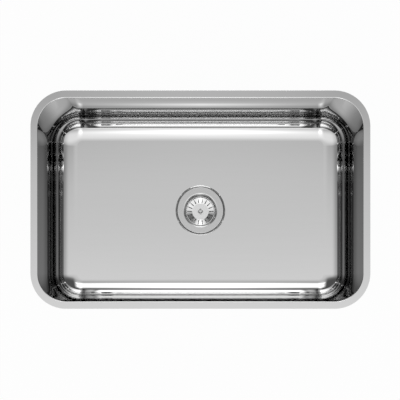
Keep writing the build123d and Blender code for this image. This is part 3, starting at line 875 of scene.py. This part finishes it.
def white_plastic():
    """The tailpiece washer's white polyethylene, slightly yellowed and waxy."""
    material, tree, shader, where = new_finish(
        "white_plastic", Subsurface_Weight=PLASTIC_GLOW, Subsurface_Scale=PLASTIC_GLOW_REACH
    )
    clouds = noise(tree, where, PLASTIC_CLOUDS, detail=3)
    marks = placed(tree, MARKS, Place=where, Patches=50.0, Cover=0.5)["Marks"]
    set_colour(tree, shader, two_tone(tree, clouds, PLASTIC_YELLOWED, PLASTIC_WHITE))
    set_roughness(tree, shader, between(tree, marks, 0, 1, PLASTIC_SMOOTHEST, PLASTIC_ROUGHEST))
    bump(tree, shader, noise(tree, where, PLASTIC_GRAIN, detail=2), PLASTIC_DEPTH)
    return material


# ---- studio --------------------------------------------------------------------------------
def make_sky_angles():
    """Degrees of a direction from straight overhead: across to either side, and to the back."""
    group, given, made = new_group("sky_angles", {"Direction": None}, ["Across", "Back"])
    parts = parts_of(group, given["Direction"])
    tilt = maths(group, "DEGREES", maths(group, "ARCCOSINE", parts["Z"]))
    reach = maths(group, "MAXIMUM", off_the_axis(group, parts), OVERHEAD)
    scale = maths(group, "DIVIDE", tilt, reach)
    across = maths(group, "MULTIPLY", parts["X"], scale)
    put(group, made["Across"], maths(group, "ABSOLUTE", across))
    put(group, made["Back"], maths(group, "MULTIPLY", parts["Y"], scale))
    return group


def make_soft_panel():
    """A soft-edged panel of light in the sky, in sky_angles."""
    edges = dict.fromkeys(
        ("Side Full", "Side End", "Low End", "Low Full", "High Full", "High End"), 0.0
    )
    inputs = {"Across": 0.0, "Back": 0.0, **edges, "Brightness": 1.0}
    group, given, made = new_group("soft_panel", inputs, ["Light"])
    across = given["Across"]
    back = given["Back"]
    side = between(group, across, given["Side Full"], given["Side End"], 1, 0, smooth=True)
    low = between(group, back, given["Low End"], given["Low Full"], smooth=True)
    high = between(group, back, given["High Full"], given["High End"], 1, 0, smooth=True)
    light = maths(group, "MULTIPLY", maths(group, "MULTIPLY", side, low), high)
    put(group, made["Light"], maths(group, "MULTIPLY", light, given["Brightness"]))
    return group


def light_the_studio():
    """Soft panels round the sky, as the world's own light; the eye sees plain white there."""
    world = bpy.data.worlds.new("studio")
    bpy.context.scene.world = world
    world.use_nodes = True
    tree = world.node_tree
    direction = tree.nodes.new("ShaderNodeTexCoord").outputs["Generated"]
    angles = placed(tree, make_sky_angles(), Direction=direction)
    soft_panel = make_soft_panel()
    light = ROOM_LIGHT
    for bright, half, side_soft, low, low_soft, high, high_soft in PANELS.values():
        panel = placed(
            tree,
            soft_panel,
            Across=angles["Across"],
            Back=angles["Back"],
            Side_Full=half - side_soft / 2,
            Side_End=half + side_soft / 2,
            Low_End=low - low_soft / 2,
            Low_Full=low + low_soft / 2,
            High_Full=high - high_soft / 2,
            High_End=high + high_soft / 2,
            Brightness=bright,
        )
        light = maths(tree, "ADD", light, panel["Light"])
    by_eye = tree.nodes.new("ShaderNodeLightPath").outputs["Is Camera Ray"]
    put(tree, tree.nodes["Background"].inputs["Color"], between(tree, by_eye, 0, 1, light, 1))


def blend_shaders(tree, share, first, second):
    """A shader that goes from first to second with share."""
    made = tree.nodes.new("ShaderNodeMixShader")
    put(tree, made.inputs["Fac"], share)
    tree.links.new(first, made.inputs[1])
    tree.links.new(second, made.inputs[2])
    return made.outputs["Shader"]


def lay_the_floor():
    """A plain pale floor under the object, white to the camera and in reflections.

    A camera under the floor sees through it.
    """
    material = bpy.data.materials.new("pale_floor")
    material.use_nodes = True
    tree = material.node_tree
    shader = tree.nodes["Principled BSDF"]
    shader.inputs["Base Color"].default_value = FLOOR_COLOUR
    shader.inputs["Roughness"].default_value = FLOOR_ROUGHNESS
    seen = tree.nodes.new("ShaderNodeLightPath").outputs
    by_eye = seen["Is Camera Ray"]
    by_eye_or_metal = maths(tree, "MAXIMUM", by_eye, seen["Is Glossy Ray"])
    by_any = maths(tree, "MAXIMUM", by_eye_or_metal, seen["Is Transmission Ray"])
    glow = tree.nodes.new("ShaderNodeEmission")
    glow.inputs["Strength"].default_value = 1.0
    glow_share = maths(tree, "MULTIPLY", by_any, FLOOR_GLOW)
    pale = blend_shaders(tree, glow_share, shader.outputs["BSDF"], glow.outputs["Emission"])
    clear = tree.nodes.new("ShaderNodeBsdfTransparent").outputs["BSDF"]
    from_below = tree.nodes.new("ShaderNodeNewGeometry").outputs["Backfacing"]
    surface = blend_shaders(tree, maths(tree, "MULTIPLY", from_below, by_eye), pale, clear)
    tree.links.new(surface, tree.nodes["Material Output"].inputs["Surface"])
    half = FLOOR_SIZE / 2
    z = cad_box[0].z - FLOOR_GAP
    corners = [(-half, -half, z), (half, -half, z), (half, half, z), (-half, half, z)]
    floor = new_object("floor", corners, [(0, 1, 2, 3)], material)


def set_the_camera():
    """Straight down over the front of the sink, shifted to the photograph's framing."""
    data = bpy.data.cameras.new("camera")
    data.sensor_width = SENSOR_WIDTH
    data.lens = SENSOR_WIDTH * CAMERA_HEIGHT / (PHOTO_WIDTH * METRES_PER_PIXEL)
    axis_y = FLANGE_CENTRE_Y - CAMERA_Y / METRES_PER_PIXEL
    data.shift_x = (PHOTO_WIDTH / 2 - PHOTO_CENTRE_X) / PHOTO_WIDTH
    data.shift_y = (axis_y - PHOTO_WIDTH / 2) / PHOTO_WIDTH
    camera = bpy.data.objects.new("camera", data)
    camera.location = (0, CAMERA_Y, CAMERA_HEIGHT)
    bpy.context.scene.collection.objects.link(camera)
    bpy.context.scene.camera = camera


# ---- finish of every part ------------------------------------------------------------------
set_the_camera()
light_the_studio()
lay_the_floor()
steel = polished_bowl_steel()
bright = turned_steel(
    "turned_steel", BRIGHT_DARK, BRIGHT_LIGHT, BRIGHT_SMOOTHEST, BRIGHT_ROUGHEST, STEEL_EDGE_TINT
)
# painted light: a near-white, lit copy of the steel for the basket
painted_lit_basket = turned_steel(
    "painted_lit_basket_steel",
    PAINTED_LIT_BASKET_DARK,
    PAINTED_LIT_BASKET_LIGHT,
    BASKET_SMOOTHEST,
    BASKET_ROUGHEST,
    PAINTED_LIT_BASKET_EDGE_TINT,
)
FINISHES = {
    "polished_steel": steel,
    "bright_steel": bright,
    "rubber": moulded_rubber(),
    "pad_rubber": pad_rubber(),
    "fibre": pressed_fibre(),
    "seal_foam": foamed_seal(),
    "cast_metal": cast_nut_metal(),
    "white_plastic": white_plastic(),
}
slots = {part["node"]: part["material_slot"] for part in frame["record"]["subparts"]}
for name, node in nodes.items():
    for place in node.material_slots:
        place.material = FINISHES[slots[name]]
make_bowl(steel)
make_basket(painted_lit_basket)
make_knob(bright)

scene = bpy.context.scene
scene.cycles.max_bounces = GLOSSY_BOUNCES
scene.cycles.glossy_bounces = GLOSSY_BOUNCES
scene.view_settings.view_transform = "Standard"
